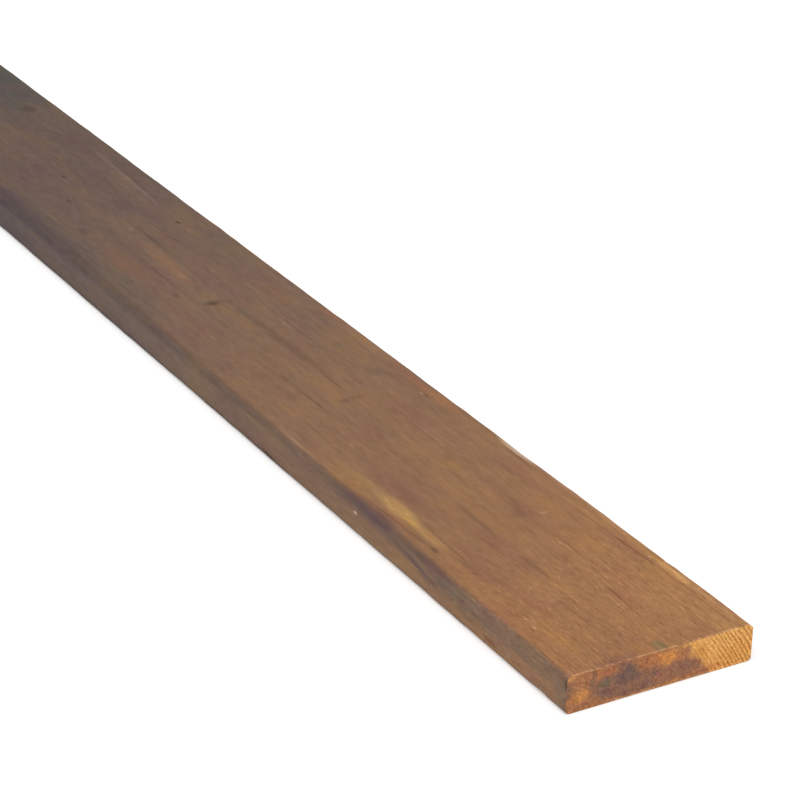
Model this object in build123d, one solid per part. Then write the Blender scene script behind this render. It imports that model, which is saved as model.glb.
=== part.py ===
from build123d import *
import os

# Cedar board: one length of planed softwood stock, crosscut square at both ends.
# X runs along the grain, Y across the width and Z up from the face that it lies on.
# The origin is the middle of that underside.

# Driving dimensions, in millimetres
LENGTH = 2438.4  # 8 ft, a length that such boards are sold in
WIDTH = 139.7  # 5 1/2 in, a nominal 6 in width after planing
THICKNESS = 26.9875  # 1 1/16 in, a nominal 5/4 in thickness after planing
EASED_RADIUS = 3.175  # 1/8 in, the round planed on each of the four long arrises


def board_section():
    """Cross-section seen along the grain, standing on its underside, with the arrises eased."""
    blank = Rectangle(WIDTH, THICKNESS, align=(Align.CENTER, Align.MIN))
    return fillet(blank.vertices(), EASED_RADIUS)


def cedar_board():
    """The section run from one sawn end to the other, so that both ends keep crisp edges."""
    first_end = Plane.YZ.offset(-LENGTH / 2)
    return extrude(first_end * board_section(), amount=LENGTH)


os.makedirs("parts", exist_ok=True)
export_step(cedar_board(), "parts/cedar_board.step")
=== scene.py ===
import math
from collections import namedtuple

import bpy
import numpy as np
from mathutils import Matrix, Vector


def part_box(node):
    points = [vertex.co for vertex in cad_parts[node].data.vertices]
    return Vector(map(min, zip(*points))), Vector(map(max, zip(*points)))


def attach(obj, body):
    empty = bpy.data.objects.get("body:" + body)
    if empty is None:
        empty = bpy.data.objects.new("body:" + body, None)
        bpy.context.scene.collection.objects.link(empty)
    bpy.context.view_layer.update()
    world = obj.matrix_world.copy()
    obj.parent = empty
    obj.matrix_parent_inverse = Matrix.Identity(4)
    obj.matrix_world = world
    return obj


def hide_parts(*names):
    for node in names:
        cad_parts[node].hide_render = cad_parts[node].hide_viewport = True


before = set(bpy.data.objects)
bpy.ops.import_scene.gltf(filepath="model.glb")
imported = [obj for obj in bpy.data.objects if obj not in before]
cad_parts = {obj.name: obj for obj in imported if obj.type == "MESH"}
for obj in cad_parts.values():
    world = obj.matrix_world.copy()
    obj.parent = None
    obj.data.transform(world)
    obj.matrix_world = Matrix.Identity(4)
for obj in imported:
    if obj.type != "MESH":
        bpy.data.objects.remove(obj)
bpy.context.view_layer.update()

# Board measures, in millimetres. A place on the board is given as along, from the sawn end that is
# shown, across, from the near edge, and up, from the underside.
MM = 0.001
NODE = "cedar_board"
node_low, node_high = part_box(NODE)
LENGTH, WIDTH, THICKNESS = [side / MM for side in node_high - node_low]
EASED_RADIUS = 3.175
SAWN_BEVEL = 0.3  # fibres broken off along the edges of the sawn ends
SHOWN_LENGTH = 900.0  # about as far as the photograph shows the near edge

# Mesh steps: on half an arris, across the faces and up the edges, and along the board by place
ARC_STEPS = 3
FACE_STEPS = 88
EDGE_STEPS = 14
STATION_PLACES = (0.0, 120.0, 850.0, 1250.0, LENGTH - 60.0, LENGTH)
STATION_SPACING = (1.8, 2.6, 6.0, 16.0, 16.0, 4.0)
SHOWN_END_FINENESS = 3
OTHER_END_FINENESS = 1
SHARP_ANGLE = math.radians(32)

# Texture layout, in shares of its width and height: the long faces are unrolled in a strip at the
# bottom, with about half of its width for the shown length, and the two ends lie side by side above it
SHOWN_SHARE = 0.52
LONG_STRIP = 0.87
END_PATCH_CORNER = np.array([0.01, LONG_STRIP + 0.015])
END_PATCH_SIZE = np.array([0.48, 0.98 - LONG_STRIP])
OTHER_END_SHIFT = np.array([0.5, 0.0])

# Growth rings: the pith ran far below the near edge, and slow waves bend the rings round it
PITH_ACROSS = -53.0
PITH_UP = -84.0
PITH_DISTANCE = 200.0  # from the middle of the clean rings on the shown end
RING_SPACING = 2.62
RingWave = namedtuple("RingWave", "size turns phase")  # turns per mm, along, across and up
RING_WAVES = (
    RingWave(3.2, (1 / 900, 1 / 2000, 1 / 900), 0.3),
    RingWave(1.1, (1 / 370, -1 / 240, 1 / 160), 1.9),
    RingWave(0.3, (1 / 140, 1 / 61, -1 / 53), 4.0),
    RingWave(0.09, (1 / 60, 1 / 23, 1 / 19), 2.2),
)
UNEVEN_RINGS = ((0.25, 23.0, 1.0), (0.07, 7.9, 2.6))  # share of a ring, millimetres, phase
# The dark band of a ring, in shares of the ring: where it starts, is full, and begins to fade
LATEWOOD_START, LATEWOOD_FULL, LATEWOOD_FADE = 0.3, 0.8, 0.88

# Relief of the long faces, in millimetres in from the planed section
MEAN_INSET = 0.16
GRAIN_RELIEF = 0.045
PLANING_RELIEF = 0.05
ARRIS_WEAR = 0.22
UNEVEN_WEAR = 0.14

# Relief of the sawn ends, in millimetres: it fades out towards their edges
TORN_DEPTH = 0.28
RING_RELIEF = 0.17
UNEVEN_TEARING = 0.05
SAW_RIPPLE = 0.03
SAW_RIPPLE_LENGTH = 9.0
SAW_RIPPLE_LEAN = 0.35  # across with each millimetre up
FLAT_RIM = 0.4
RIM_FADE = 1.2

# Damage on the arrises, counted round from the near lower one
NEAR_LOWER, FAR_LOWER, FAR_UPPER, NEAR_UPPER = range(4)
Nick = namedtuple("Nick", "arris along half_length depth")
SHOWN_NICKS = (
    Nick(FAR_UPPER, 274.0, 22.0, 0.6),
    Nick(FAR_UPPER, 92.0, 6.0, 0.5),
    Nick(FAR_UPPER, 0.0, 32.0, 0.8),
    Nick(NEAR_UPPER, 345.0, 22.0, 0.5),
    Nick(NEAR_UPPER, 58.0, 5.0, 0.45),
    Nick(NEAR_LOWER, 30.0, 9.0, 0.5),
)
# More of them, spread at random over the arrises out of the photograph
PLAIN_NICKS = 26
PLAIN_NICK_SEED = 11
PLAIN_NICK_PLACES = (SHOWN_LENGTH, LENGTH - 20.0)
PLAIN_NICK_HALF_LENGTHS = (4.0, 20.0)
PLAIN_NICK_DEPTHS = (0.3, 0.9)


def srgb(red, green, blue):
    """A colour as it is seen on a screen, from 0 to 255, as the linear colour that shaders take."""
    shares = [channel / 255 for channel in (red, green, blue)]
    return tuple(s / 12.92 if s <= 0.04045 else ((s + 0.055) / 1.055) ** 2.4 for s in shares)


# Shape of the board


def section_loop():
    """The section's outline as (across, up), anticlockwise seen from the shown end.

    It starts in the middle of the near lower arris. Gives the points, their outward normals, how
    round the outline is at each one, from 0 on a flat to 1 in the middle of an arris, and the arris
    that each one is nearest to.
    """
    near, far = EASED_RADIUS, WIDTH - EASED_RADIUS
    under, over = EASED_RADIUS, THICKNESS - EASED_RADIUS
    centres = np.array([(near, under), (far, under), (far, over), (near, over)])
    eighth = math.pi / 4
    points, normals, roundness, arris = [], [], [], []

    def add(centre, angle, share, which):
        outward = np.array([math.cos(angle), math.sin(angle)])
        points.append(centre + EASED_RADIUS * outward)
        normals.append(outward)
        roundness.append(share)
        arris.append(which)

    for k in range(4):
        here, after = centres[k], centres[(k + 1) % 4]
        start = math.pi + eighth + k * 2 * eighth
        steps = FACE_STEPS if k % 2 == 0 else EDGE_STEPS
        for turn in np.linspace(0, 1, ARC_STEPS + 1)[:-1]:
            add(here, start + turn * eighth, 1 - turn, k)
        for share in np.linspace(0, 1, steps + 1)[:-1]:
            nearest = k if share < 0.5 else (k + 1) % 4
            add(here + share * (after - here), start + eighth, 0, nearest)
        for turn in np.linspace(0, 1, ARC_STEPS + 1)[:-1]:
            add(after, start + eighth + turn * eighth, turn, (k + 1) % 4)
    return np.array(points), np.array(normals), np.array(roundness), np.array(arris)


def stations():
    """Places along the board of the mesh's cross-sections, closest together at the shown end."""
    places = [SAWN_BEVEL]
    while places[-1] < LENGTH - SAWN_BEVEL:
        places.append(places[-1] + np.interp(places[-1], STATION_PLACES, STATION_SPACING))
    inner = np.array(places)
    stretch = (LENGTH - 2 * SAWN_BEVEL) / (inner[-1] - SAWN_BEVEL)
    inner = SAWN_BEVEL + (inner - SAWN_BEVEL) * stretch
    return np.concatenate([[0.0], inner, [LENGTH]])


def waves(seed, shortest, longest, stretch, count=28):
    """A smooth random height of about 1 as a function of the place, drawn out along the grain."""
    rng = np.random.default_rng(seed)
    lengths = shortest * (longest / shortest) ** rng.random(count)
    angle = rng.uniform(0, 2 * math.pi, count)
    phase = rng.uniform(0, 2 * math.pi, count)
    along_turns = rng.normal(0, 1, count) / (lengths * stretch)
    weight = lengths / math.sqrt((lengths**2).sum() / 2)

    def height(along, across, up):
        total = np.zeros(np.broadcast(along, across, up).shape)
        for k in range(count):
            turns = along * along_turns[k]
            turns = turns + (across * math.cos(angle[k]) + up * math.sin(angle[k])) / lengths[k]
            total += weight[k] * np.cos(2 * math.pi * turns + phase[k])
        return total

    return height


def nicks():
    """The damage on the arrises: what the photograph shows, and more of it out of its sight."""
    rng = np.random.default_rng(PLAIN_NICK_SEED)
    more = []
    for _ in range(PLAIN_NICKS):
        arris = int(rng.integers(4))
        along = rng.uniform(*PLAIN_NICK_PLACES)
        half_length = rng.uniform(*PLAIN_NICK_HALF_LENGTHS)
        more.append(Nick(arris, along, half_length, rng.uniform(*PLAIN_NICK_DEPTHS)))
    return SHOWN_NICKS + tuple(more)


def long_relief(along, across, up, roundness, arris):
    """How far the long faces stand in from the planed section.

    They have grain and planer waves, and their arrises are worn and nicked.
    """
    grain = waves(seed=3, shortest=5.5, longest=22.0, stretch=14.0)
    planing = waves(seed=4, shortest=45.0, longest=140.0, stretch=2.2, count=12)
    wear = waves(seed=5, shortest=30.0, longest=120.0, stretch=0.8, count=14)
    inward = MEAN_INSET + GRAIN_RELIEF * grain(along, across, up)
    inward = inward + PLANING_RELIEF * planing(along, across, up)
    inward = inward + roundness * (ARRIS_WEAR + UNEVEN_WEAR * wear(along, across * 3, up * 3))
    for nick in nicks():
        reach = np.clip(1 - np.abs((along - nick.along) / nick.half_length), 0, 1)
        ragged = 0.75 + 0.25 * np.sin(along * 1.7 + nick.along)
        broken = nick.depth * reach**0.6 * ragged
        inward = inward + broken * np.sqrt(roundness) * (arris == nick.arris)
    return np.maximum(inward, 0)


def ring_radius(along, across, up):
    """Distance from the pith, as the slow waves bend it."""
    radius = np.hypot(across - PITH_ACROSS, up - PITH_UP)
    for wave in RING_WAVES:
        turns = along * wave.turns[0] + across * wave.turns[1] + up * wave.turns[2]
        radius = radius + wave.size * np.sin(2 * math.pi * turns + wave.phase)
    return radius


def latewood(along, across, up):
    """1 on the dark, hard band that closes each growth ring, 0 on the soft wood between."""
    radius = ring_radius(along, across, up)
    ring = radius / RING_SPACING
    for size, length, phase in UNEVEN_RINGS:
        ring = ring + size * np.sin(2 * math.pi * radius / length + phase)
    place = ring % 1.0
    rise = np.clip((place - LATEWOOD_START) / (LATEWOOD_FULL - LATEWOOD_START), 0, 1)
    return rise * np.clip((1 - place) / (1 - LATEWOOD_FADE), 0, 1)


def end_relief(along, across, up):
    """How far a sawn end is cut in: soft rings torn deeper than hard ones, and the saw's ripple."""
    torn = waves(seed=6, shortest=1.8, longest=7.0, stretch=1.0)
    ripple = np.sin(2 * math.pi * (across + SAW_RIPPLE_LEAN * up) / SAW_RIPPLE_LENGTH)
    rim = np.minimum.reduce([across, WIDTH - across, up, THICKNESS - up])
    inside = np.clip((rim - FLAT_RIM) / RIM_FADE, 0, 1)
    depth = TORN_DEPTH - RING_RELIEF * latewood(along, across, up)
    depth = depth + UNEVEN_TEARING * torn(along, across, up) + SAW_RIPPLE * ripple
    return inside * np.maximum(depth, 0)


def end_grid(rim, fineness):
    """Points of a grid over an end, fineness times finer than the rim, between its four sides."""
    across_steps = FACE_STEPS + 2 * ARC_STEPS
    up_steps = EDGE_STEPS + 2 * ARC_STEPS
    closed = np.vstack([rim, rim[:1]])

    def side(first, steps):
        stops = np.linspace(first, first + steps, steps * fineness + 1)
        index = np.arange(len(closed))
        return np.stack([np.interp(stops, index, closed[:, c]) for c in range(2)], axis=-1)

    bottom = side(0, across_steps)[:, None]
    far = side(across_steps, up_steps)[None]
    top = side(across_steps + up_steps, across_steps)[::-1][:, None]
    near = side(2 * across_steps + up_steps, up_steps)[::-1][None]
    p = np.linspace(0, 1, bottom.shape[0])[:, None, None]
    q = np.linspace(0, 1, far.shape[1])[None, :, None]
    near_corners = (1 - q) * bottom[0, 0] + q * top[0, 0]
    far_corners = (1 - q) * bottom[-1, 0] + q * top[-1, 0]
    corners = (1 - p) * near_corners + p * far_corners
    return (1 - q) * bottom + q * top + (1 - p) * near + p * far - corners


def end_faces(rim_ids, first_id, fineness):
    """Faces of an end, as vertex numbers, and the (column, row) of each new vertex of its grid.

    The cells along the rim stay whole and take in the finer points of the grid inside them.
    """
    columns = FACE_STEPS + 2 * ARC_STEPS
    rows = EDGE_STEPS + 2 * ARC_STEPS
    inner = [
        (i, j)
        for i in range(fineness, (columns - 1) * fineness + 1)
        for j in range(fineness, (rows - 1) * fineness + 1)
    ]
    ids = {place: first_id + k for k, place in enumerate(inner)}
    ring = [(i * fineness, 0) for i in range(columns)]
    ring += [(columns * fineness, j * fineness) for j in range(rows)]
    ring += [(i * fineness, rows * fineness) for i in range(columns, 0, -1)]
    ring += [(0, j * fineness) for j in range(rows, 0, -1)]
    ids.update(zip(ring, rim_ids))

    faces = []
    for i, j in inner:
        cell = [(i, j), (i + 1, j), (i + 1, j + 1), (i, j + 1)]
        if cell[2] in ids and i + 1 <= (columns - 1) * fineness and j + 1 <= (rows - 1) * fineness:
            faces.append([ids[c] for c in cell])
    for i in range(columns):
        for j in range(rows):
            if 0 < i < columns - 1 and 0 < j < rows - 1:
                continue
            corners = [(i, j), (i + 1, j), (i + 1, j + 1), (i, j + 1)]
            walk = []
            for (a, b), (c, d) in zip(corners, corners[1:] + corners[:1]):
                for step in range(fineness):
                    spot = (a * fineness + (c - a) * step, b * fineness + (d - b) * step)
                    if spot in ids:
                        walk.append(ids[spot])
            faces.append(walk)
    return faces, inner


def unrolled(along):
    """Share of the texture's width at a place along the board."""
    return np.interp(along, (0.0, SHOWN_LENGTH, LENGTH), (0.0, SHOWN_SHARE, 1.0))


def build_board():
    """The board as one closed mesh: long faces in slot 0, sawn ends in slot 1."""
    points, normals, roundness, arris = section_loop()
    places = stations()
    around = len(points)
    along = places[:, None]
    across, up = points[None, :, 0], points[None, :, 1]
    inward = long_relief(along, across, up, roundness[None], arris[None])
    inward[0] += SAWN_BEVEL
    inward[-1] += SAWN_BEVEL
    skin = points[None] - inward[..., None] * normals[None]
    lengthwise = np.broadcast_to(along[..., None], skin.shape[:2] + (1,))
    long_points = np.concatenate([lengthwise, skin], axis=-1)

    i, j = np.meshgrid(np.arange(len(places) - 1), np.arange(around), indexing="ij")
    after = (j + 1) % around
    here, there = i * around, (i + 1) * around
    long_faces = np.stack([here + j, there + j, there + after, here + after], axis=-1)
    long_faces = long_faces.reshape(-1, 4)

    steps = np.linalg.norm(np.diff(np.vstack([points, points[:1]]), axis=0), axis=1)
    girth = np.concatenate([[0], np.cumsum(steps)]) / steps.sum()
    u = unrolled(places)
    low, high = girth[j], girth[j + 1]
    corner_uvs = [(u[i], low), (u[i + 1], low), (u[i + 1], high), (u[i], high)]
    long_uv = np.stack([np.stack(corner, -1) for corner in corner_uvs], axis=2)
    long_uv = long_uv.reshape(-1, 2) * (1.0, LONG_STRIP)

    vertices = [long_points.reshape(-1, 3)]
    faces = long_faces.tolist()
    uvs = [long_uv]
    is_end = [0] * len(faces)
    first_id = len(vertices[0])
    for shown in (True, False):
        station = 0 if shown else len(places) - 1
        rim = skin[station]
        rim_ids = [station * around + k for k in range(around)]
        fineness = SHOWN_END_FINENESS if shown else OTHER_END_FINENESS
        grid = end_grid(rim, fineness)
        found, inner = end_faces(rim_ids, first_id, fineness)
        spots = np.array([grid[c] for c in inner])
        base = 0.0 if shown else LENGTH
        depth = end_relief(base, spots[:, 0], spots[:, 1])
        place = depth if shown else LENGTH - depth
        new = np.column_stack([place, spots])
        vertices.append(new)
        known = np.concatenate(vertices)
        corner = END_PATCH_CORNER if shown else END_PATCH_CORNER + OTHER_END_SHIFT
        for face in found:
            walk = face if shown else face[::-1]
            faces.append(walk)
            spot = known[walk][:, 1:] / (WIDTH, THICKNESS)
            uvs.append(corner + END_PATCH_SIZE * spot)
            is_end.append(1)
        first_id += len(new)

    place = np.concatenate(vertices)
    along, across, up = place.T
    rows = np.column_stack([LENGTH / 2 - along, across - WIDTH / 2, up]) * MM
    mesh = bpy.data.meshes.new("planed_board")
    mesh.from_pydata(rows.tolist(), [], faces)
    mesh.polygons.foreach_set("use_smooth", [True] * len(faces))
    mesh.polygons.foreach_set("material_index", is_end)
    layer = mesh.uv_layers.new(name="OFBake")
    layer.data.foreach_set("uv", np.concatenate(uvs).astype(np.float32).ravel())
    mesh.set_sharp_from_angle(angle=SHARP_ANGLE)
    mesh.validate()
    board = bpy.data.objects.new("planed_board", mesh)
    bpy.context.scene.collection.objects.link(board)
    return board


# Wood

# A soft patch of stain, streak or wear: what it does to the colour under it, where it lies, its
# half sizes, its strength in the middle, the share of it that has that strength, and its lean: how
# far it goes off course with each millimetre of its run. Places, sizes and leans are along, across
# and up.
Mark = namedtuple("Mark", "factors centre half strength core lean", defaults=(0.2, (0, 0, 0)))

WOOD_GLOSS = 0.12
LONG_BUMP = 0.2  # finest relief, in millimetres
END_BUMP = 0.35


class Nodes:
    """A material's nodes, with short calls for the ones that the wood is made of."""

    def __init__(self, name):
        self.material = bpy.data.materials.new(name)
        self.material.use_nodes = True
        self.tree = self.material.node_tree
        self.tree.nodes.clear()

    def add(self, kind, **settings):
        node = self.tree.nodes.new("ShaderNode" + kind)
        for name, value in settings.items():
            setattr(node, name, value)
        return node

    def feed(self, socket, value):
        if isinstance(value, bpy.types.NodeSocket):
            self.tree.links.new(value, socket)
        else:
            socket.default_value = value

    def math(self, operation, *values):
        node = self.add("Math", operation=operation)
        for socket, value in zip(node.inputs, values):
            self.feed(socket, value)
        return node.outputs[0]

    def vector(self, operation, *values):
        node = self.add("VectorMath", operation=operation)
        for socket, value in zip(node.inputs, values):
            self.feed(socket, value)
        return node.outputs["Value" if operation in ("LENGTH", "DOT_PRODUCT") else "Vector"]

    def split(self, vector):
        node = self.add("SeparateXYZ")
        self.feed(node.inputs[0], vector)
        return node.outputs

    def join(self, *values):
        node = self.add("CombineXYZ")
        for socket, value in zip(node.inputs, values):
            self.feed(socket, value)
        return node.outputs[0]

    def ramp(self, value, start, end, low=0.0, high=1.0, smooth=True):
        """low before start, high after end, where start may be the larger of the two."""
        course = "SMOOTHSTEP" if smooth else "LINEAR"
        node = self.add("MapRange", clamp=True, interpolation_type=course)
        for socket, given in zip(node.inputs, (value, start, end, low, high)):
            self.feed(socket, given)
        return node.outputs[0]

    def noise(self, place, grain, detail=2.0, rough=0.55, output=0):
        """Noise from 0 to 1 with features of about the given size, along, across and up."""
        scaled = self.vector("MULTIPLY", place, tuple(1 / size for size in grain))
        node = self.add("TexNoise")
        self.feed(node.inputs["Vector"], scaled)
        node.inputs["Scale"].default_value = 1.0
        node.inputs["Detail"].default_value = detail
        node.inputs["Roughness"].default_value = rough
        return node.outputs[output]

    def mix(self, colour, other, share, blend="MIX"):
        node = self.add("Mix", data_type="RGBA", blend_type=blend)
        self.feed(node.inputs[0], share)
        for socket, given in zip(node.inputs[6:8], (colour, other)):
            self.feed(socket, given if isinstance(given, bpy.types.NodeSocket) else (*given, 1))
        return node.outputs[2]

    def tint(self, colour, factors, share=1.0):
        """The colour times the factors, as far as the share goes."""
        return self.mix(colour, factors, share, "MULTIPLY")

    def shade(self, colour, light):
        """The colour times one number."""
        grey = self.add("CombineColor")
        for socket in grey.inputs:
            self.feed(socket, light)
        return self.tint(colour, grey.outputs[0])

    def vary(self, light, noise, amount):
        """A brightness, changed by noise from 0 to 1, by up to half of amount each way."""
        return self.math("MULTIPLY_ADD", self.math("SUBTRACT", noise, 0.5), amount, light)

    def gradient(self, value, stops):
        """A colour that follows a value through stops, each a value and its colour."""
        first, last = stops[0][0], stops[-1][0]
        share = self.ramp(value, first, last, smooth=False)
        node = self.add("ValToRGB")
        self.feed(node.inputs[0], share)
        elements = node.color_ramp.elements
        elements[0].color = (*stops[0][1], 1)
        elements[1].color = (*stops[-1][1], 1)
        for at, colour in stops[1:-1]:
            elements.new((at - first) / (last - first)).color = (*colour, 1)
        return node.outputs[0]

    def board_place(self):
        """Along, across and up on the board, in millimetres."""
        place = self.add("TexCoord").outputs["Object"]
        return self.vector(
            "MULTIPLY_ADD", place, (-1 / MM, 1 / MM, 1 / MM), (LENGTH / 2, WIDTH / 2, 0.0)
        )

    def wander(self, place, size, grain, detail=2.0):
        """The place moved about by noise, by up to half of size each way."""
        noise = self.noise(place, grain, detail, output=1)
        offset = self.vector("SUBTRACT", noise, (0.5, 0.5, 0.5))
        return self.vector("MULTIPLY_ADD", offset, size, place)

    def spot(self, place, mark, run, start):
        """How much of a mark there is at a place, where it leans with its run from its start."""
        centre = mark.centre
        if any(mark.lean):
            place = self.vector("MULTIPLY_ADD", run, tuple(-lean for lean in mark.lean), place)
            centre = tuple(c - lean * start for c, lean in zip(centre, mark.lean))
        scale = tuple(1 / half for half in mark.half)
        shift = tuple(-c / half for c, half in zip(centre, mark.half))
        fitted = self.vector("MULTIPLY_ADD", place, scale, shift)
        return self.ramp(self.vector("LENGTH", fitted), 1.0, mark.core, 0.0, mark.strength)

    def ring_radius(self, place):
        """Distance from the pith, by the same rule as ring_radius() of the shape."""
        pith = self.vector("MULTIPLY_ADD", place, (0, 1, 1), (0, -PITH_ACROSS, -PITH_UP))
        radius = self.vector("LENGTH", pith)
        for wave in RING_WAVES:
            turns = self.vector("DOT_PRODUCT", place, tuple(2 * math.pi * t for t in wave.turns))
            bent = self.math("SINE", self.math("ADD", turns, wave.phase))
            radius = self.math("MULTIPLY_ADD", bent, wave.size, radius)
        return radius

    def rings(self, radius):
        """1 on the dark band of each growth ring and 0 between, by the same rule as latewood()."""
        ring = self.math("DIVIDE", radius, RING_SPACING)
        for size, length, phase in UNEVEN_RINGS:
            turn = self.math("MULTIPLY_ADD", radius, 2 * math.pi / length, phase)
            ring = self.math("MULTIPLY_ADD", self.math("SINE", turn), size, ring)
        inside = self.math("FRACT", ring)
        rise = self.ramp(inside, LATEWOOD_START, LATEWOOD_FULL, smooth=False)
        return self.math("MULTIPLY", rise, self.ramp(inside, 1.0, LATEWOOD_FADE, smooth=False))

    def finish(self, colour, roughness, height, depth):
        """Closes the tree: colour and roughness on a bumped surface, with depth in millimetres."""
        bump = self.add("Bump")
        bump.inputs["Distance"].default_value = depth * MM
        self.feed(bump.inputs["Height"], height)
        shader = self.add("BsdfPrincipled")
        self.feed(shader.inputs["Base Color"], colour)
        self.feed(shader.inputs["Roughness"], roughness)
        self.feed(shader.inputs["Normal"], bump.outputs["Normal"])
        shader.inputs["Specular IOR Level"].default_value = WOOD_GLOSS
        output = self.add("OutputMaterial")
        self.tree.links.new(shader.outputs[0], output.inputs["Surface"])
        return self.material


# Colours of the planed faces by place along the board: fresh at the shown end, darker and greyer
# further on, partly weathering and partly painted light falloff away from the shown end
FALLOFF_AND_WEATHERING = (
    (60.0, srgb(160, 115, 77)),
    (250.0, srgb(144, 107, 78)),
    (600.0, srgb(121, 96, 79)),
    (900.0, srgb(102, 83, 75)),
    (1050.0, srgb(101, 83, 74)),
    (1180.0, srgb(93, 81, 73)),
    (1500.0, srgb(106, 87, 76)),
    (LENGTH, srgb(144, 107, 78)),
)
EDGE_SHADE_GREY = (0.86, 0.97, 1.14)  # on the two narrow edges and their arrises: partly weathering, partly painted cool shade on the sides
ARRIS_GREY = (0.68, 0.72, 0.80)  # on the top face beside the near edge
UNDER_SHADE = (0.60, 0.62, 0.66)  # painted shade on the lower arrises, where the board meets the floor
LOWER_DARKENING = (0.74, 0.75, 0.72)  # over that, the lower arrises darker still from about along 345 to 395 on
GOLDEN_BLOTCH = (1.05, 1.03, 0.90)
RUDDY_BLOTCH = (0.99, 0.93, 1.02)
PALE_LINE = (1.09, 1.10, 1.08)
PORE = (0.88, 0.85, 0.86)
# painted highlights on torn fibres near the shown end, and painted shade in the dents between them
FLECK_HIGHLIGHT = (1.28, 1.30, 1.24)
DENT_SHADE = (0.78, 0.73, 0.74)
FRINGE_HIGHLIGHT = (1.50, 1.55, 1.62)  # broken fibres at the upper edge of the shown end, brightened as a painted highlight

# What streaks and stains do to the colour under them
YELLOW = (1.55, 1.68, 1.24)
ORANGE = (1.30, 1.20, 1.04)
RUST = (1.22, 1.06, 0.92)
GOLD = (1.40, 1.48, 1.30)
PALE = (1.40, 1.50, 1.60)
# painted highlight on a chipped far arris
SPLINTER_HIGHLIGHT = (1.85, 2.45, 3.30)
CHIP = (2.60, 2.90, 3.00)
DARK = (0.72, 0.74, 0.76)
RED = (0.74, 0.64, 0.68)
RUDDY = (1.04, 0.93, 0.95)
MAUVE = (0.91, 0.89, 0.99)
LILAC = (1.00, 0.99, 1.10)
PURPLE = (0.64, 0.63, 0.96)
GREY = (0.77, 0.87, 0.97)
GREEN = (0.72, 0.92, 0.95)
SOOT = (0.34, 0.40, 0.46)

TOP = THICKNESS
DEEP = 6.0  # half size of a mark through the surface that it lies on
NEAR_EDGE = 0.0


def on_top(factors, along, across, half_along, half_across, strength, core=0.2, lean=0.0):
    """A mark on the top face, leaning across as it runs along."""
    half = (half_along, half_across, DEEP)
    return Mark(factors, (along, across, TOP), half, strength, core, (0, lean, 0))


def on_edge(factors, along, up, half_along, half_up, strength, core=0.2, lean=0.0):
    """A mark on the near edge, leaning up as it runs along."""
    half = (half_along, DEEP, half_up)
    return Mark(factors, (along, NEAR_EDGE, up), half, strength, core, (0, 0, lean))


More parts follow.
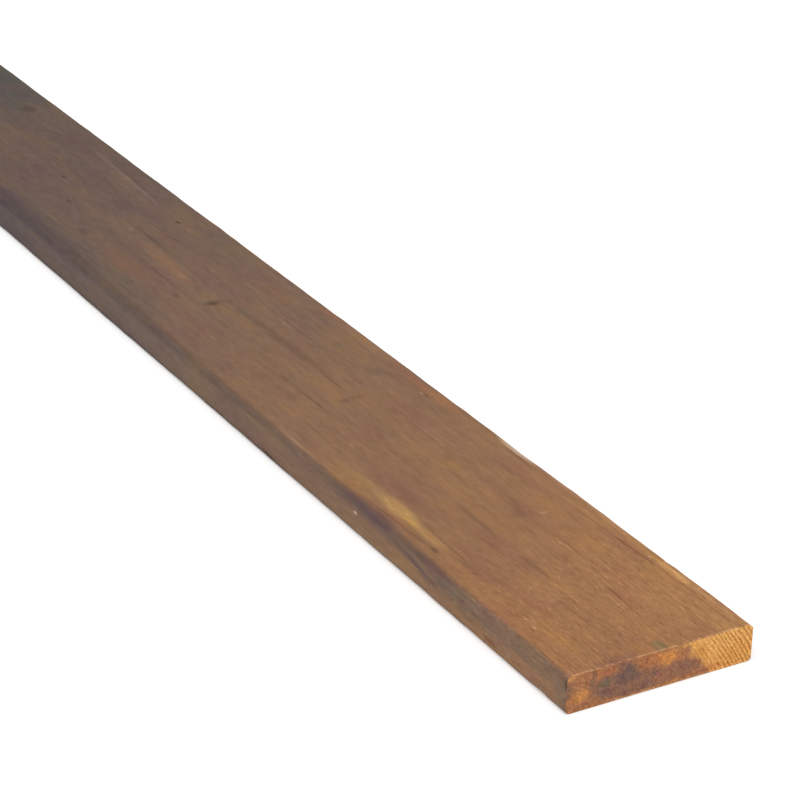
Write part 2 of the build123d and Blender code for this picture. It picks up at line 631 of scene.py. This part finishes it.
STREAKS = (
    # broad changes of colour over the top face
    on_top(GOLD, 40, 118, 95, 34, 0.14, 0.1),
    on_top(GOLD, 10, 124, 28, 18, 0.28, 0.1),
    on_top(MAUVE, 10, 52, 32, 34, 1.0, 0.3),
    on_top(MAUVE, 138, 32, 48, 18, 0.9, 0.3),
    on_top(MAUVE, 200, 68, 44, 10, 0.8, 0.2),
    on_top(MAUVE, 155, 53, 62, 12, 0.85, 0.4),
    on_top(GOLD, 50, 96, 70, 10, 0.18, 0.3),
    on_top(GOLD, 225, 126, 70, 12, 0.2, 0.2),
    on_top(GOLD, 84, 40, 28, 14, 0.14, 0.2),
    on_top(ORANGE, 400, 100, 56, 15, 0.32, 0.2),
    on_top(ORANGE, 345, 97, 40, 14, 0.25, 0.3),
    on_top(MAUVE, 250, 42, 110, 32, 0.75, 0.2),
    on_top(MAUVE, 194, 90, 36, 17, 0.75, 0.1),
    on_top(GREY, 272, 110, 30, 10, 0.25, 0.1),
    on_top(MAUVE, 520, 20, 70, 26, 0.5, 0.1),
    on_top(RUST, 600, 114, 40, 14, 0.7, 0.1),
    on_top(RUDDY, 705, 36, 45, 18, 1.0, 0.2),
    on_top(RUDDY, 742, 90, 26, 12, 0.8, 0.1),
    on_top(GREY, 740, 18, 230, 15, 0.8, 0.4),
    on_top(PURPLE, 860, 10, 100, 22, 0.35, 0.1),
    on_top(GREY, 700, 126, 70, 14, 0.4, 0.2),
    on_top(GREY, 1120, 106, 44, 20, 0.9, 0.4),
    on_top(GREY, 1115, 130, 40, 14, 0.7, 0.4),
    on_top(GREY, 1072, 87, 36, 14, 0.5, 0.3),
    on_top(GREEN, 1190, 124, 50, 26, 0.85, 0.3),
    # yellow streak beside the near arris, and its fainter lobes
    on_top(YELLOW, 238, 19.2, 36, 9.0, 0.92, 0.35),
    on_top(YELLOW, 197, 17.8, 36, 5.6, 0.6, 0.3),
    on_top(YELLOW, 286, 19.0, 46, 11.0, 0.26, 0.2),
    on_top(YELLOW, 342, 19.0, 30, 8.0, 0.16, 0.1),
    # dark lines past the streak, stained wood between it and the arris, and painted highlights along
    # the arris
    on_top(DARK, 143, 19.0, 22, 4.2, 0.5, 0.1),
    on_top(DARK, 152, 18.3, 20, 1.4, 0.5),
    on_top(MAUVE, 236, 7.0, 46, 3.4, 0.9, 0.3),
    on_top(GREY, 194, 12.0, 36, 4.2, 0.55, 0.3),
    on_top(PURPLE, 206, 5.5, 34, 3.6, 0.35, 0.3),
    # painted highlights where the near arris catches the light
    on_top(PALE, 208, 3.8, 22, 1.7, 0.3),
    on_top(PALE, 340, 2.5, 50, 4.0, 0.3),
    # dark stain along the near arris, which sinks into the edge and leaves it grey up to the end,
    # and the warmer wood round it
    Mark(PURPLE, (250.0, 2.5, 25.0), (54.0, 6.5, 6.5), 0.7, 0.4),
    Mark(PURPLE, (166.0, 0.5, 25.0), (48.0, 3.4, 5.0), 0.5, 0.3),
    on_edge(PURPLE, 215, 20.4, 56, 4.0, 0.6, 0.3, 0.1),
    on_edge(PURPLE, 176, 15.5, 24, 3.6, 0.6, 0.2, 0.16),
    on_edge(LILAC, 80, 13.5, 125, 22.0, 1.0, 0.6),
    on_edge(GREY, 60, 20.5, 120, 8.5, 0.95, 0.65),
    on_edge(GREY, 170, 18.5, 80, 7.5, 0.7, 0.4, 0.08),
    on_edge(GREY, 300, 22.5, 70, 5.0, 0.5, 0.3),
    on_edge(PURPLE, 262, 19.5, 62, 4.4, 0.4, 0.3, 0.03),
    on_edge(GREY, 4, 9.0, 12, 12.0, 0.8, 0.3),
    on_edge(GREY, 104, 11.5, 44, 5.0, 0.55, 0.3),
    on_edge(DARK, 166, 12.8, 24, 3.0, 0.55, 0.3, 0.1),
    on_edge(GOLD, 244, 6.5, 92, 6.5, 0.22, 0.4),
    on_edge(ORANGE, 322, 24.0, 36, 4.0, 0.4, 0.3),
    on_edge(ORANGE, 340, 8.0, 60, 5.0, 0.3, 0.3),
    on_edge(DARK, 132, 10.0, 40, 5.0, 0.25, 0.3),
    # gold, pale, orange and red wood beside the far edge
    on_top(GOLD, 80, 132.6, 26, 3.8, 1.0, 0.3),
    on_top(GOLD, 150, 129.5, 60, 3.0, 0.35, 0.3, -0.02),
    on_top(GOLD, 125, 134.5, 60, 5.0, 0.35, 0.3),
    on_top(PALE, 38, 135.5, 60, 6.0, 0.42, 0.4),
    on_top(PALE, 215, 136.6, 64, 2.6, 0.65, 0.4),
    on_top(PALE, 155, 136.4, 36, 2.6, 0.4, 0.3),
    on_top(ORANGE, 485, 133.5, 105, 6.5, 0.6, 0.4),
    on_top(RED, 262, 131.6, 30, 1.5, 0.6, 0.3),
    # streaks on the near third
    on_top(DARK, 200, 57.5, 36, 3.2, 0.75, 0.3),
    on_top(DARK, 126, 57.0, 30, 3.0, 0.8, 0.4),
    on_top(RED, 68, 83.4, 36, 1.7, 0.75, 0.2, 0.05),
    on_top(RED, 245, 78.0, 30, 1.0, 0.4),
    on_top(PALE, 110, 99.0, 40, 1.4, 0.25),
    on_top(PALE, 60, 78.5, 26, 1.2, 0.3),
    # streaks and lines on the middle
    on_top(DARK, 524, 77.0, 96, 5.4, 0.65, 0.5, -0.03),
    on_top(RED, 440, 76.4, 30, 1.6, 0.75),
    on_top(DARK, 538, 97.5, 74, 1.3, 0.6),
    on_top(DARK, 592, 97.5, 15, 1.3, 0.6),
    on_top(DARK, 415, 48.0, 50, 1.5, 0.85),
    on_top(DARK, 330, 47.7, 16, 2.2, 0.45),
    # painted highlight along the near arris
    on_top(PALE, 362, 5.0, 36, 2.2, 0.6, 0.3),
    on_top(PALE, 320, 101.0, 34, 1.1, 0.35),
    on_top(PALE, 345, 66.0, 26, 1.1, 0.3),
    on_top(RUST, 385, 131.0, 60, 6.0, 0.9, 0.3),
    on_top(RUST, 550, 134.0, 20, 3.4, 0.7),
    # second streak, orange, with a dark line over it, and pale and dark streaks past it
    on_top(ORANGE, 702, 65.4, 68, 8.2, 0.88, 0.35, 0.06),
    on_top(ORANGE, 661, 64.5, 30, 6.0, 0.5, 0.3, 0.05),
    on_top(ORANGE, 682, 54.0, 34, 5.0, 0.35, 0.3),
    on_top(DARK, 745, 77.5, 62, 2.6, 0.75, 0.2),
    on_top(RED, 682, 51.0, 60, 1.3, 0.2),
    on_top(PALE, 790, 72.7, 20, 1.5, 0.35),
    on_top(PALE, 872, 72.0, 16, 3.0, 0.3),
    on_top(GOLD, 870, 108.0, 100, 15.0, 0.22, 0.3, 0.02),
    on_top(DARK, 880, 121.5, 64, 2.2, 0.45, 0.2, 0.04),
    on_top(PALE, 830, 23.6, 32, 1.5, 0.4),
)

SPOTS = (
    # lines along the grain: towards the far edge, then on the middle, then beside the streak
    on_top(RED, 176, 125.4, 52, 1.1, 0.6, 0.3, -0.033),
    on_top(RED, 116, 127.4, 36, 1.3, 0.85, 0.4, -0.033),
    on_top(RED, 64, 128.6, 26, 1.0, 0.6, 0.3, -0.01),
    on_top(DARK, 372, 26.6, 20, 1.5, 0.6, 0.3),
    on_top(PALE, 326, 95.4, 38, 1.1, 0.35, 0.3),
    on_top(PALE, 246, 52.7, 22, 1.1, 0.3, 0.3),
    on_top(RED, 262, 79.0, 16, 1.2, 0.5, 0.3),
    on_top(RED, 226, 8.9, 48, 1.3, 0.7, 0.4, -0.052),
    # knots, dents and smudges
    on_top(DARK, 177, 11.0, 9.0, 3.2, 0.85, 0.3),
    on_top(PURPLE, 176, 11.0, 6.0, 2.4, 0.5, 0.3),
    on_top(PURPLE, 200, 9.0, 22, 2.0, 0.6, 0.2, -0.05),
    on_top(PALE, 253, 18.6, 4.5, 1.6, 0.4),
    on_top(PALE, 264, 21.5, 5.0, 1.4, 0.4),
    on_top(PALE, 241, 15.8, 4.0, 1.3, 0.35),
    on_top(PALE, 228, 20.4, 4.5, 1.4, 0.3),
    on_top(RUST, 246, 21.8, 9.0, 1.4, 0.7),
    on_top(RUST, 216, 16.4, 8.0, 1.2, 0.7),
    on_top(PURPLE, 232, 4.6, 26, 1.6, 0.5),
    on_top(PURPLE, 198, 2.6, 14, 1.4, 0.5),
    on_top(DARK, 137, 17.7, 5.5, 1.8, 0.7),
    on_top(RED, 172, 81.0, 13, 1.5, 0.7),
    on_top(DARK, 195, 87.0, 13, 8.0, 0.6, 0.1),
    on_top(PURPLE, 290, 87.7, 9.5, 4.2, 0.35, 0.1),
    on_top(RED, 404, 76.0, 5.0, 15.0, 0.5, 0.3),
    on_top(PURPLE, 402, 68.0, 6.0, 5.5, 0.7, 0.1),
    on_top(DARK, 455, 48.0, 10, 2.4, 0.9),
    on_top(GREY, 456, 52.5, 9.0, 4.5, 0.6),
    on_top(DARK, 405, 49.5, 6.0, 2.2, 0.5),
    on_top(GREY, 436, 115.0, 11, 8.0, 0.8, 0.1),
    on_top(GREY, 492, 113.0, 10, 6.0, 0.8, 0.1),
    on_top(PURPLE, 534, 123.0, 12, 3.8, 0.5),
    on_top(ORANGE, 447, 91.0, 11, 9.0, 0.25, 0.1),
    on_top(DARK, 606, 63.0, 8.0, 12.0, 0.85, 0.25),
    on_top(SOOT, 606, 62.5, 5.0, 8.5, 0.55, 0.2),
    on_top(DARK, 604, 77.0, 4.5, 5.0, 0.7),
    on_top(DARK, 632, 43.4, 6.5, 3.8, 0.85),
    on_top(DARK, 789, 34.0, 11, 6.0, 0.7),
    on_top(DARK, 565, 60.5, 5.5, 1.3, 0.7),
    # dark specks, and the knot furthest along
    on_top(SOOT, 771, 112.0, 5.5, 2.8, 0.75),
    on_top(SOOT, 833, 121.5, 5.5, 2.8, 0.3),
    on_top(SOOT, 858, 51.0, 5.0, 2.4, 0.65),
    on_top(SOOT, 911, 70.0, 5.5, 2.6, 0.6),
    on_top(SOOT, 769, 70.2, 5.0, 1.8, 0.4),
    on_top(SOOT, 675, 24.0, 6.0, 1.8, 0.4),
    on_top(SOOT, 747, 90.0, 4.5, 2.2, 0.3),
    on_top(SOOT, 382, 125.5, 4.5, 1.4, 0.6),
    on_top(DARK, 1087, 111.0, 14, 10.0, 1.0, 0.35),
    # pale chips and splinters, and painted highlights where chipped arrises catch the light
    on_top(PALE, 146.7, 89.7, 3.0, 1.4, 1.0),
    on_top(PALE, 138, 90.8, 9.0, 1.1, 0.7),
    on_top(PALE, 60, 77.7, 2.4, 1.3, 0.9),
    on_top(PALE, 23, 47.0, 2.2, 1.3, 0.9),
    on_top(PALE, 71.7, 16.0, 2.6, 1.6, 1.0),
    on_top(PALE, 60, 14.7, 2.6, 1.6, 1.0),
    on_top(PALE, 90, 48.0, 5.0, 1.3, 0.6),
    on_top(PALE, 84, 42.5, 4.0, 1.3, 0.6),
    on_top(PALE, 107.5, 63.5, 2.4, 1.4, 0.8),
    on_top(PALE, 188, 103.5, 2.6, 5.0, 0.55),
    on_top(PALE, 388, 124.7, 2.8, 1.5, 1.0),
    # painted highlight on a chip in the far arris
    on_top(PALE, 103, 131.2, 3.0, 1.4, 1.0),
    on_top(PALE, 74, 133.2, 9.0, 1.8, 0.5),
    on_top(PALE, 64, 131.6, 5.0, 1.2, 0.5),
    on_top(PALE, 547, 94.4, 5.0, 1.3, 0.7),
    on_top(PALE, 775, 71.0, 8.0, 2.4, 0.6),
    on_top(PALE, 1112, 124.0, 10, 7.0, 0.2),
    on_top(PALE, 892, 118.0, 96, 2.6, 0.55, 0.5, 0.04),
    on_top(PALE, 565, 61.8, 3.5, 1.2, 0.6),
    on_top(YELLOW, 95, 91.0, 6.0, 1.6, 0.4),
    on_top(YELLOW, 338, 37.8, 6.0, 1.6, 0.5),
    on_top(YELLOW, 547, 33.5, 6.0, 1.6, 0.5),
    # painted highlight where the chipped far arris catches the light
    on_top(SPLINTER_HIGHLIGHT, 276, 136.4, 32, 3.8, 0.95, 0.4),
    on_edge(CHIP, 263.4, 16.8, 3.4, 1.7, 1.0, 0.3),
    # painted highlights where the chipped near arris catches the light
    on_edge(PALE, 328, 22.0, 3.5, 1.3, 0.6),
    on_edge(PALE, 345, 25.0, 4.5, 1.3, 0.6),
    # reddish dashes and dark stains on the near edge, and stains at the sawn end
    on_edge(RED, 160, 14.0, 8.0, 1.8, 0.8),
    on_edge(RED, 88, 6.4, 13.0, 2.8, 1.0, 0.35),
    on_edge(RED, 124, 18.0, 8.0, 1.6, 0.5),
    on_edge(DARK, 58, 20.0, 9.0, 2.6, 0.5),
    on_edge(DARK, 20, 21.5, 8.0, 3.0, 0.6),
    on_edge(SOOT, 394, 4.0, 16, 2.4, 0.75),
    on_edge(SOOT, 0.5, 21.0, 3.0, 6.0, 0.8),
    on_edge(DARK, 1.0, 10.5, 3.5, 3.0, 0.8),
    on_edge(DARK, 1.0, 4.0, 4.0, 2.0, 0.9),
    on_top(GREEN, 6, 71.5, 9.0, 6.0, 1.0, 0.4),
    on_top(PURPLE, 2, 36.0, 9.0, 24.0, 0.5),
    on_top(PALE, 3, 6.0, 12, 7.0, 0.22),
)


def long_grain():
    """The planed faces: fibres and flecks along the grain, the flecks with painted highlights and
    painted shade in the dents between them, greyed away from the shown end by weathering and painted
    light falloff.
    """
    wood = Nodes("cedar_long_grain")
    place = wood.board_place()
    along, across, up = wood.split(place)
    frayed = wood.wander(place, (30.0, 2.6, 2.6), (24.0, 2.4, 2.4), 5.0)
    chipped = wood.wander(place, (2.0, 0.8, 0.8), (4.0, 1.3, 1.3))

    rings = wood.rings(wood.ring_radius(frayed))
    bands = wood.noise(place, (420.0, 16.0, 16.0), 2.0)
    strands = wood.noise(place, (130.0, 5.0, 5.0), 2.0)
    fibre = wood.noise(place, (32.0, 1.6, 1.6), 2.0, 0.6)
    grit = wood.noise(place, (5.0, 1.3, 1.3), 1.0)
    blotches = wood.noise(place, (60.0, 18.0, 18.0), 2.0)
    mottle = wood.noise(place, (14.0, 3.8, 3.8), 2.0)
    worn = wood.ramp(along, 90.0, 200.0, 1.0, 0.25)
    fresh = wood.ramp(along, 150.0, 450.0, 1.0, 0.4)

    # darker and greyer along the board: partly weathering, partly painted light falloff from the shown
    # end
    drift = wood.math("MULTIPLY_ADD", wood.math("SUBTRACT", bands, 0.5), 240.0, along)
    colour = wood.gradient(drift, FALLOFF_AND_WEATHERING)
    # greyer, darker narrow edges: partly weathering, partly painted cool shade
    edge = wood.math("MAXIMUM", wood.ramp(across, 3.5, 0.5), wood.ramp(across, WIDTH - 0.8, WIDTH))
    colour = wood.tint(colour, EDGE_SHADE_GREY, edge)
    colour = wood.tint(colour, RUST, wood.ramp(across, WIDTH - 4.0, WIDTH - 1.5, 0.0, 0.7))
    reach = wood.ramp(along, 300.0, 900.0, 6.0, 16.0)
    beside = wood.ramp(wood.math("DIVIDE", across, reach), 1.0, 0.4)
    beside = wood.math("MULTIPLY", beside, wood.ramp(along, 90.0, 180.0, 0.1, 1.0))
    beside = wood.math("MULTIPLY", beside, wood.ramp(up, TOP - 6.0, TOP - 1.0))
    colour = wood.tint(colour, ARRIS_GREY, beside)
    # painted shade on the lower arrises, where the board meets the floor, broken up by the strands
    under = wood.math("MULTIPLY", wood.ramp(up, 4.6, 1.4), wood.ramp(strands, 0.3, 0.6, 0.3, 1.0))
    colour = wood.tint(colour, UNDER_SHADE, under)
    # the lower arrises darker still, from along 345 to 395 on
    lower_darkening = wood.math("MULTIPLY", wood.ramp(up, 5.2, 2.8), wood.ramp(along, 345.0, 395.0))
    colour = wood.tint(colour, LOWER_DARKENING, lower_darkening)

    light = wood.vary(1.0, strands, 0.17)
    light = wood.vary(light, fibre, wood.math("MULTIPLY", fresh, 0.18))
    light = wood.vary(light, blotches, 0.30)
    light = wood.vary(light, mottle, 0.42)
    light = wood.vary(light, grit, wood.math("MULTIPLY", worn, 0.45))
    light = wood.math("MULTIPLY_ADD", rings, -0.015, light)
    colour = wood.shade(colour, light)
    colour = wood.tint(colour, GOLDEN_BLOTCH, wood.ramp(blotches, 0.52, 0.68))
    colour = wood.tint(colour, RUDDY_BLOTCH, wood.ramp(blotches, 0.48, 0.32))

    run = wood.join(along, along, along)
    for marks, course in ((STREAKS, frayed), (SPOTS, chipped)):
        for mark in marks:
            colour = wood.tint(colour, mark.factors, wood.spot(course, mark, run, mark.centre[0]))

    lines = wood.noise(place, (70.0, 1.6, 1.6), 1.0)
    colour = wood.tint(colour, PALE_LINE, wood.ramp(lines, 0.64, 0.78, 0.0, fresh))
    pores = wood.ramp(lines, 0.36, 0.24, 0.0, fresh)
    colour = wood.tint(colour, PORE, pores)
    torn = wood.noise(place, (8.0, 1.4, 1.4), 1.0)
    # the raised torn fibres get painted highlights
    flecks = wood.math("MULTIPLY", wood.ramp(torn, 0.60, 0.74), worn)
    colour = wood.tint(colour, FLECK_HIGHLIGHT, flecks)
    # the dents between them get painted shade
    dents = wood.math("MULTIPLY", wood.ramp(torn, 0.40, 0.27), worn)
    colour = wood.tint(colour, DENT_SHADE, dents)
    # pale broken fibres at the upper edge of the shown end, brightened as a painted highlight
    fringe_highlight = wood.math("MULTIPLY", wood.ramp(along, 2.0, 0.8), wood.ramp(up, TOP - 2.0, TOP - 0.8))
    gaps = wood.noise(place, (6.0, 5.0, 5.0), 2.0)
    fringe_highlight = wood.math("MULTIPLY", fringe_highlight, wood.ramp(gaps, 0.38, 0.56))
    colour = wood.tint(colour, FRINGE_HIGHLIGHT, fringe_highlight)

    roughness = wood.ramp(fibre, 0.2, 0.8, 0.85, 0.7)
    height = wood.math("MULTIPLY_ADD", rings, 0.1, wood.math("MULTIPLY", fibre, fresh))
    height = wood.math("MULTIPLY_ADD", torn, wood.math("MULTIPLY", worn, 2.0), height)
    height = wood.math("MULTIPLY_ADD", pores, -0.5, height)
    return wood.finish(colour, roughness, height, LONG_BUMP)


# Colours of the sawn ends
END_PALE = srgb(239, 180, 104)
END_DARK = srgb(180, 116, 56)
HEART = (0.50, 0.42, 0.63)  # brown heartwood, over the pale wood
STAIN = (0.64, 0.75, 1.10)  # purple weather stain, over the heartwood
HEART_LEAN = -0.65  # of the heartwood's limit, across with each millimetre up
BROWN_PATCH = (0.90, 0.84, 0.84)
PALE_LUMP = (1.18, 1.18, 1.12)
DARK_LUMP = (0.84, 0.72, 0.66)
WARM_HEART = (1.16, 1.03, 0.86)
COOL_HEART = (0.90, 0.90, 1.06)

END = 0.0


def on_end(factors, across, up, half_across, half_up, strength, core=0.3, lean=0.0):
    """A mark on the shown end, leaning across as it rises."""
    half = (DEEP, half_across, half_up)
    return Mark(factors, (END, across, up), half, strength, core, (0, lean, 0))


# The heartwood ends at a line that leans as the rings do, so its mark is as good as a half plane
HEARTWOOD = on_end(HEART, -100, 13, 202, 300, 1.0, 0.97, HEART_LEAN)
# Clear places in the heartwood
END_CLEAR = (
    on_end(HEART, 75.5, 21, 8.5, 8.5, 0.35, 0.5),
    on_end(HEART, 95, 19.5, 5, 8, 0.45, 0.3),
    on_end(HEART, 11, 10, 6, 8, 0.3, 0.3),
    on_end(HEART, 3, 25, 6, 3.5, 0.3, 0.3),
    on_end(HEART, 88, 25.5, 8, 3, 0.45, 0.3),
    on_end(HEART, 70, -0.5, 50, 3.4, 0.35, 0.4),
)
END_STAINS = (
    on_end(STAIN, 50, 8.0, 30, 10.5, 1.0, 0.6),
    on_end(STAIN, 80, 9.5, 22, 8.0, 0.7, 0.5),
    on_end(STAIN, 92, 10.5, 8.0, 6.5, 0.9, 0.5, -0.8),
    on_end(STAIN, 33, 12, 16, 10.5, 1.0, 0.6),
    on_end(STAIN, 46, 20, 7.5, 7.5, 1.0, 0.4),
    on_end(STAIN, 20, 18, 3.6, 13, 0.9, 0.4),
    on_end(STAIN, 36, 22, 14, 8, 0.5, 0.4),
)
# Lighter, darker, warmer and cooler places, each by its own factors
END_MARKS = (
    on_end((0.68, 0.80, 1.00), 46, 17.0, 12, 9.0, 0.95, 0.3),
    on_end((0.72, 0.98, 0.95), 28, 14.5, 7, 4.5, 0.9),
    on_end((1.04, 0.92, 0.78), 75.5, 20.5, 8, 8.0, 0.9, 0.4),
    on_end((1.18, 1.08, 0.95), 77.5, 19.0, 3, 5.0, 0.8),
    on_end((1.14, 1.00, 0.86), 62, 22.0, 14, 6.0, 0.7),
    on_end((1.20, 0.95, 0.85), 31, 22.5, 8, 4.5, 0.8),
    on_end((1.10, 1.00, 0.86), 10.5, 10.5, 7, 8.0, 0.9, 0.4),
    on_end((0.80, 0.66, 0.72), 111, 4.0, 11, 4.4, 0.9),
    on_end((0.88, 0.80, 0.70), 100, 17.0, 6, 9.0, 0.9, 0.3, -0.5),
    on_end((0.92, 0.86, 0.76), 128, 8.0, 18, 10.0, 0.9, 0.5),
    on_end((0.64, 0.76, 1.00), 0.5, 16.0, 6, 8.0, 0.95, 0.4),
    on_end((0.86, 0.89, 0.98), 53, 18.5, 7, 5.0, 0.9),
    on_end((0.84, 0.78, 0.84), 101, 19.5, 4, 5.5, 0.8),
    on_end((0.90, 0.85, 0.86), 108, 10.5, 6, 5.0, 0.9),
    on_end((0.82, 0.88, 0.97), 24, 4.0, 9, 4.0, 0.9),
    on_end((1.26, 1.10, 1.00), 68, 8.5, 8, 4.0, 0.9),
    on_end((0.82, 0.82, 0.86), 71, 1.6, 10, 2.8, 0.9),
    on_end((0.90, 0.96, 1.04), 6, 14.0, 8, 6.0, 0.9),
    # painted highlights along the upper rim of the shown end
    on_end(PALE, 24, TOP, 26, 1.1, 0.8),
    on_end(PALE, 129, TOP, 9, 1.6, 0.8),
)


def end_grain():
    """The sawn ends: torn rings, golden where they are clean, with brown heartwood and its stain."""
    wood = Nodes("cedar_end_grain")
    place = wood.board_place()
    along, across, up = wood.split(place)
    frayed = wood.wander(place, (0.0, 8.0, 6.0), (8.0, 6.0, 4.5), 4.0)

    radius = wood.ring_radius(wood.wander(place, (0.0, 0.5, 0.5), (4.0, 1.4, 1.4)))
    rings = wood.rings(radius)
    from_pith = wood.math(
        "ARCTAN2", wood.math("SUBTRACT", across, PITH_ACROSS), wood.math("SUBTRACT", up, PITH_UP)
    )
    unbent = wood.join(radius, wood.math("MULTIPLY", from_pith, PITH_DISTANCE), along)
    cells = wood.noise(unbent, (0.9, 1.9, 3.0), 2.0, 0.6)
    patches = wood.noise(place, (30.0, 9.0, 6.0), 3.0)
    mottle = wood.noise(place, (20.0, 3.2, 2.6), 3.0, 0.65)
    specks = wood.noise(place, (8.0, 1.2, 1.2), 1.0)
    broken = wood.ramp(wood.noise(unbent, (2.2, 5.0, 8.0), 1.0), 0.34, 0.58, 0.35, 1.0)
    hidden = wood.math("GREATER_THAN", along, LENGTH / 2)
    other = wood.noise(place, (40.0, 22.0, 14.0), 3.0)

    run = wood.join(up, up, up)
    heart = wood.spot(frayed, HEARTWOOD, run, HEARTWOOD.centre[2])
    for mark in END_CLEAR:
        left = wood.math("SUBTRACT", 1.0, wood.spot(frayed, mark, run, mark.centre[2]))
        heart = wood.math("MULTIPLY", heart, left)
    slant = wood.vector("DOT_PRODUCT", frayed, (0.0, 1.0, -HEART_LEAN))
    through = wood.math("MULTIPLY", hidden, wood.ramp(slant, 92.0, 84.0))
    heart = wood.math("MAXIMUM", heart, through)
    stain = wood.math("MULTIPLY", through, wood.ramp(other, 0.47, 0.58))
    for mark in END_STAINS:
        stain = wood.math("MAXIMUM", stain, wood.spot(frayed, mark, run, mark.centre[2]))
    stain = wood.math("MULTIPLY", stain, wood.ramp(up, 0.8, 3.4))

    clear = wood.math("MULTIPLY_ADD", heart, -0.75, 0.95)
    faint = wood.math("MULTIPLY", broken, wood.ramp(across, 96.0, 124.0, 0.4, 1.0))
    lumps = wood.noise(place, (9.0, 2.4, 2.0), 2.0, 0.6)
    banding = wood.math("MULTIPLY", rings, wood.math("MULTIPLY", clear, faint))
    colour = wood.mix(END_PALE, END_DARK, banding)
    colour = wood.shade(colour, wood.vary(0.95, cells, wood.math("MULTIPLY_ADD", clear, 0.9, 0.3)))
    colour = wood.shade(colour, wood.vary(1.0, specks, wood.math("MULTIPLY_ADD", stain, -0.3, 0.5)))
    colour = wood.tint(colour, BROWN_PATCH, wood.ramp(patches, 0.5, 0.72))
    colour = wood.tint(colour, HEART, heart)
    colour = wood.tint(colour, STAIN, stain)
    colour = wood.shade(colour, wood.vary(1.0, mottle, wood.math("MULTIPLY_ADD", heart, 0.7, 0.35)))
    colour = wood.tint(colour, PALE_LUMP, wood.ramp(lumps, 0.55, 0.68))
    colour = wood.tint(colour, DARK_LUMP, wood.ramp(lumps, 0.46, 0.33))
    warm = wood.math("MULTIPLY", heart, wood.ramp(patches, 0.48, 0.32))
    colour = wood.tint(colour, WARM_HEART, warm)
    cool = wood.math("MULTIPLY", heart, wood.ramp(patches, 0.52, 0.66))
    colour = wood.tint(colour, COOL_HEART, cool)
    for mark in END_MARKS:
        colour = wood.tint(colour, mark.factors, wood.spot(frayed, mark, run, mark.centre[2]))

    roughness = wood.ramp(cells, 0.2, 0.8, 0.9, 0.75)
    height = wood.math("MULTIPLY_ADD", rings, 0.5, cells)
    return wood.finish(colour, roughness, height, END_BUMP)


# Stage, light and camera

FLOOR_SIDE = 40.0  # metres
FLOOR_WHITE = 0.9
FLOOR_GLOW = 0.27  # added to the lit floor for the camera, so that it is white outside the shadow
WORLD_LIGHT = 0.5
SUN_LIGHT = 1.85
SUN_FROM = (0.28, -0.20, 0.55)
SUN_SOFTNESS = math.radians(70)

CAMERA_PLACE = Vector((2.4225, -0.8966, 0.9033))
CAMERA_TARGET = Vector((0.7852, 0.0636, 0.0))
CAMERA_ROLL = math.radians(1.24)
CAMERA_LENS = 126.0
CAMERA_SENSOR = 36.0
CAMERA_NEAREST = 0.01  # metres


def seen_directly(tree):
    """1 for what the camera sees, itself or in a gloss, and 0 for the light on the object."""
    path = tree.nodes.new("ShaderNodeLightPath")
    total = None
    for name in ("Is Camera Ray", "Is Glossy Ray", "Is Transmission Ray"):
        if total is None:
            total = path.outputs[name]
            continue
        node = tree.nodes.new("ShaderNodeMath")
        node.operation = "MAXIMUM"
        tree.links.new(total, node.inputs[0])
        tree.links.new(path.outputs[name], node.inputs[1])
        total = node.outputs[0]
    return total


def build_floor():
    """A plain white floor that keeps the board's shadow."""
    half = FLOOR_SIDE / 2
    mesh = bpy.data.meshes.new("floor")
    corners = [(-half, -half, 0), (half, -half, 0), (half, half, 0), (-half, half, 0)]
    mesh.from_pydata(corners, [], [(0, 1, 2, 3)])
    floor = bpy.data.objects.new("floor", mesh)
    bpy.context.scene.collection.objects.link(floor)
    material = bpy.data.materials.new("floor_white")
    material.use_nodes = True
    tree = material.node_tree
    shader = tree.nodes["Principled BSDF"]
    shader.inputs["Base Color"].default_value = (FLOOR_WHITE, FLOOR_WHITE, FLOOR_WHITE, 1)
    shader.inputs["Roughness"].default_value = 1.0
    shader.inputs["Specular IOR Level"].default_value = 0.0
    shader.inputs["Emission Color"].default_value = (1, 1, 1, 1)
    glow = tree.nodes.new("ShaderNodeMath")
    glow.operation = "MULTIPLY"
    glow.inputs[1].default_value = FLOOR_GLOW
    tree.links.new(seen_directly(tree), glow.inputs[0])
    tree.links.new(glow.outputs[0], shader.inputs["Emission Strength"])
    mesh.materials.append(material)


def build_light():
    """An even white room and one large soft lamp over the shown end."""
    world = bpy.data.worlds.new("studio")
    world.use_nodes = True
    tree = world.node_tree
    background = tree.nodes["Background"]
    background.inputs["Color"].default_value = (1, 1, 1, 1)
    strength = tree.nodes.new("ShaderNodeMapRange")
    tree.links.new(seen_directly(tree), strength.inputs["Value"])
    strength.inputs["To Min"].default_value = WORLD_LIGHT
    strength.inputs["To Max"].default_value = 1.0
    tree.links.new(strength.outputs[0], background.inputs["Strength"])
    bpy.context.scene.world = world

    lamp = bpy.data.lights.new("soft_key", "SUN")
    lamp.energy = SUN_LIGHT
    lamp.angle = SUN_SOFTNESS
    key = bpy.data.objects.new("soft_key", lamp)
    bpy.context.scene.collection.objects.link(key)
    key.rotation_mode = "QUATERNION"
    key.rotation_quaternion = Vector(SUN_FROM).to_track_quat("Z", "Y")


def build_camera():
    """The photograph's view."""
    data = bpy.data.cameras.new("photo_view")
    data.lens = CAMERA_LENS
    data.sensor_width = CAMERA_SENSOR
    data.clip_start = CAMERA_NEAREST
    camera = bpy.data.objects.new("photo_view", data)
    level = (CAMERA_PLACE - CAMERA_TARGET).to_track_quat("Z", "Y").to_matrix()
    turned = level @ Matrix.Rotation(CAMERA_ROLL, 3, "Z")
    camera.matrix_world = Matrix.Translation(CAMERA_PLACE) @ turned.to_4x4()
    bpy.context.scene.collection.objects.link(camera)
    bpy.context.scene.camera = camera


board = build_board()
board.data.materials.append(long_grain())
board.data.materials.append(end_grain())
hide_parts(NODE)
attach(board, "root")

build_floor()
build_light()
build_camera()
bpy.context.scene.view_settings.view_transform = "Standard"
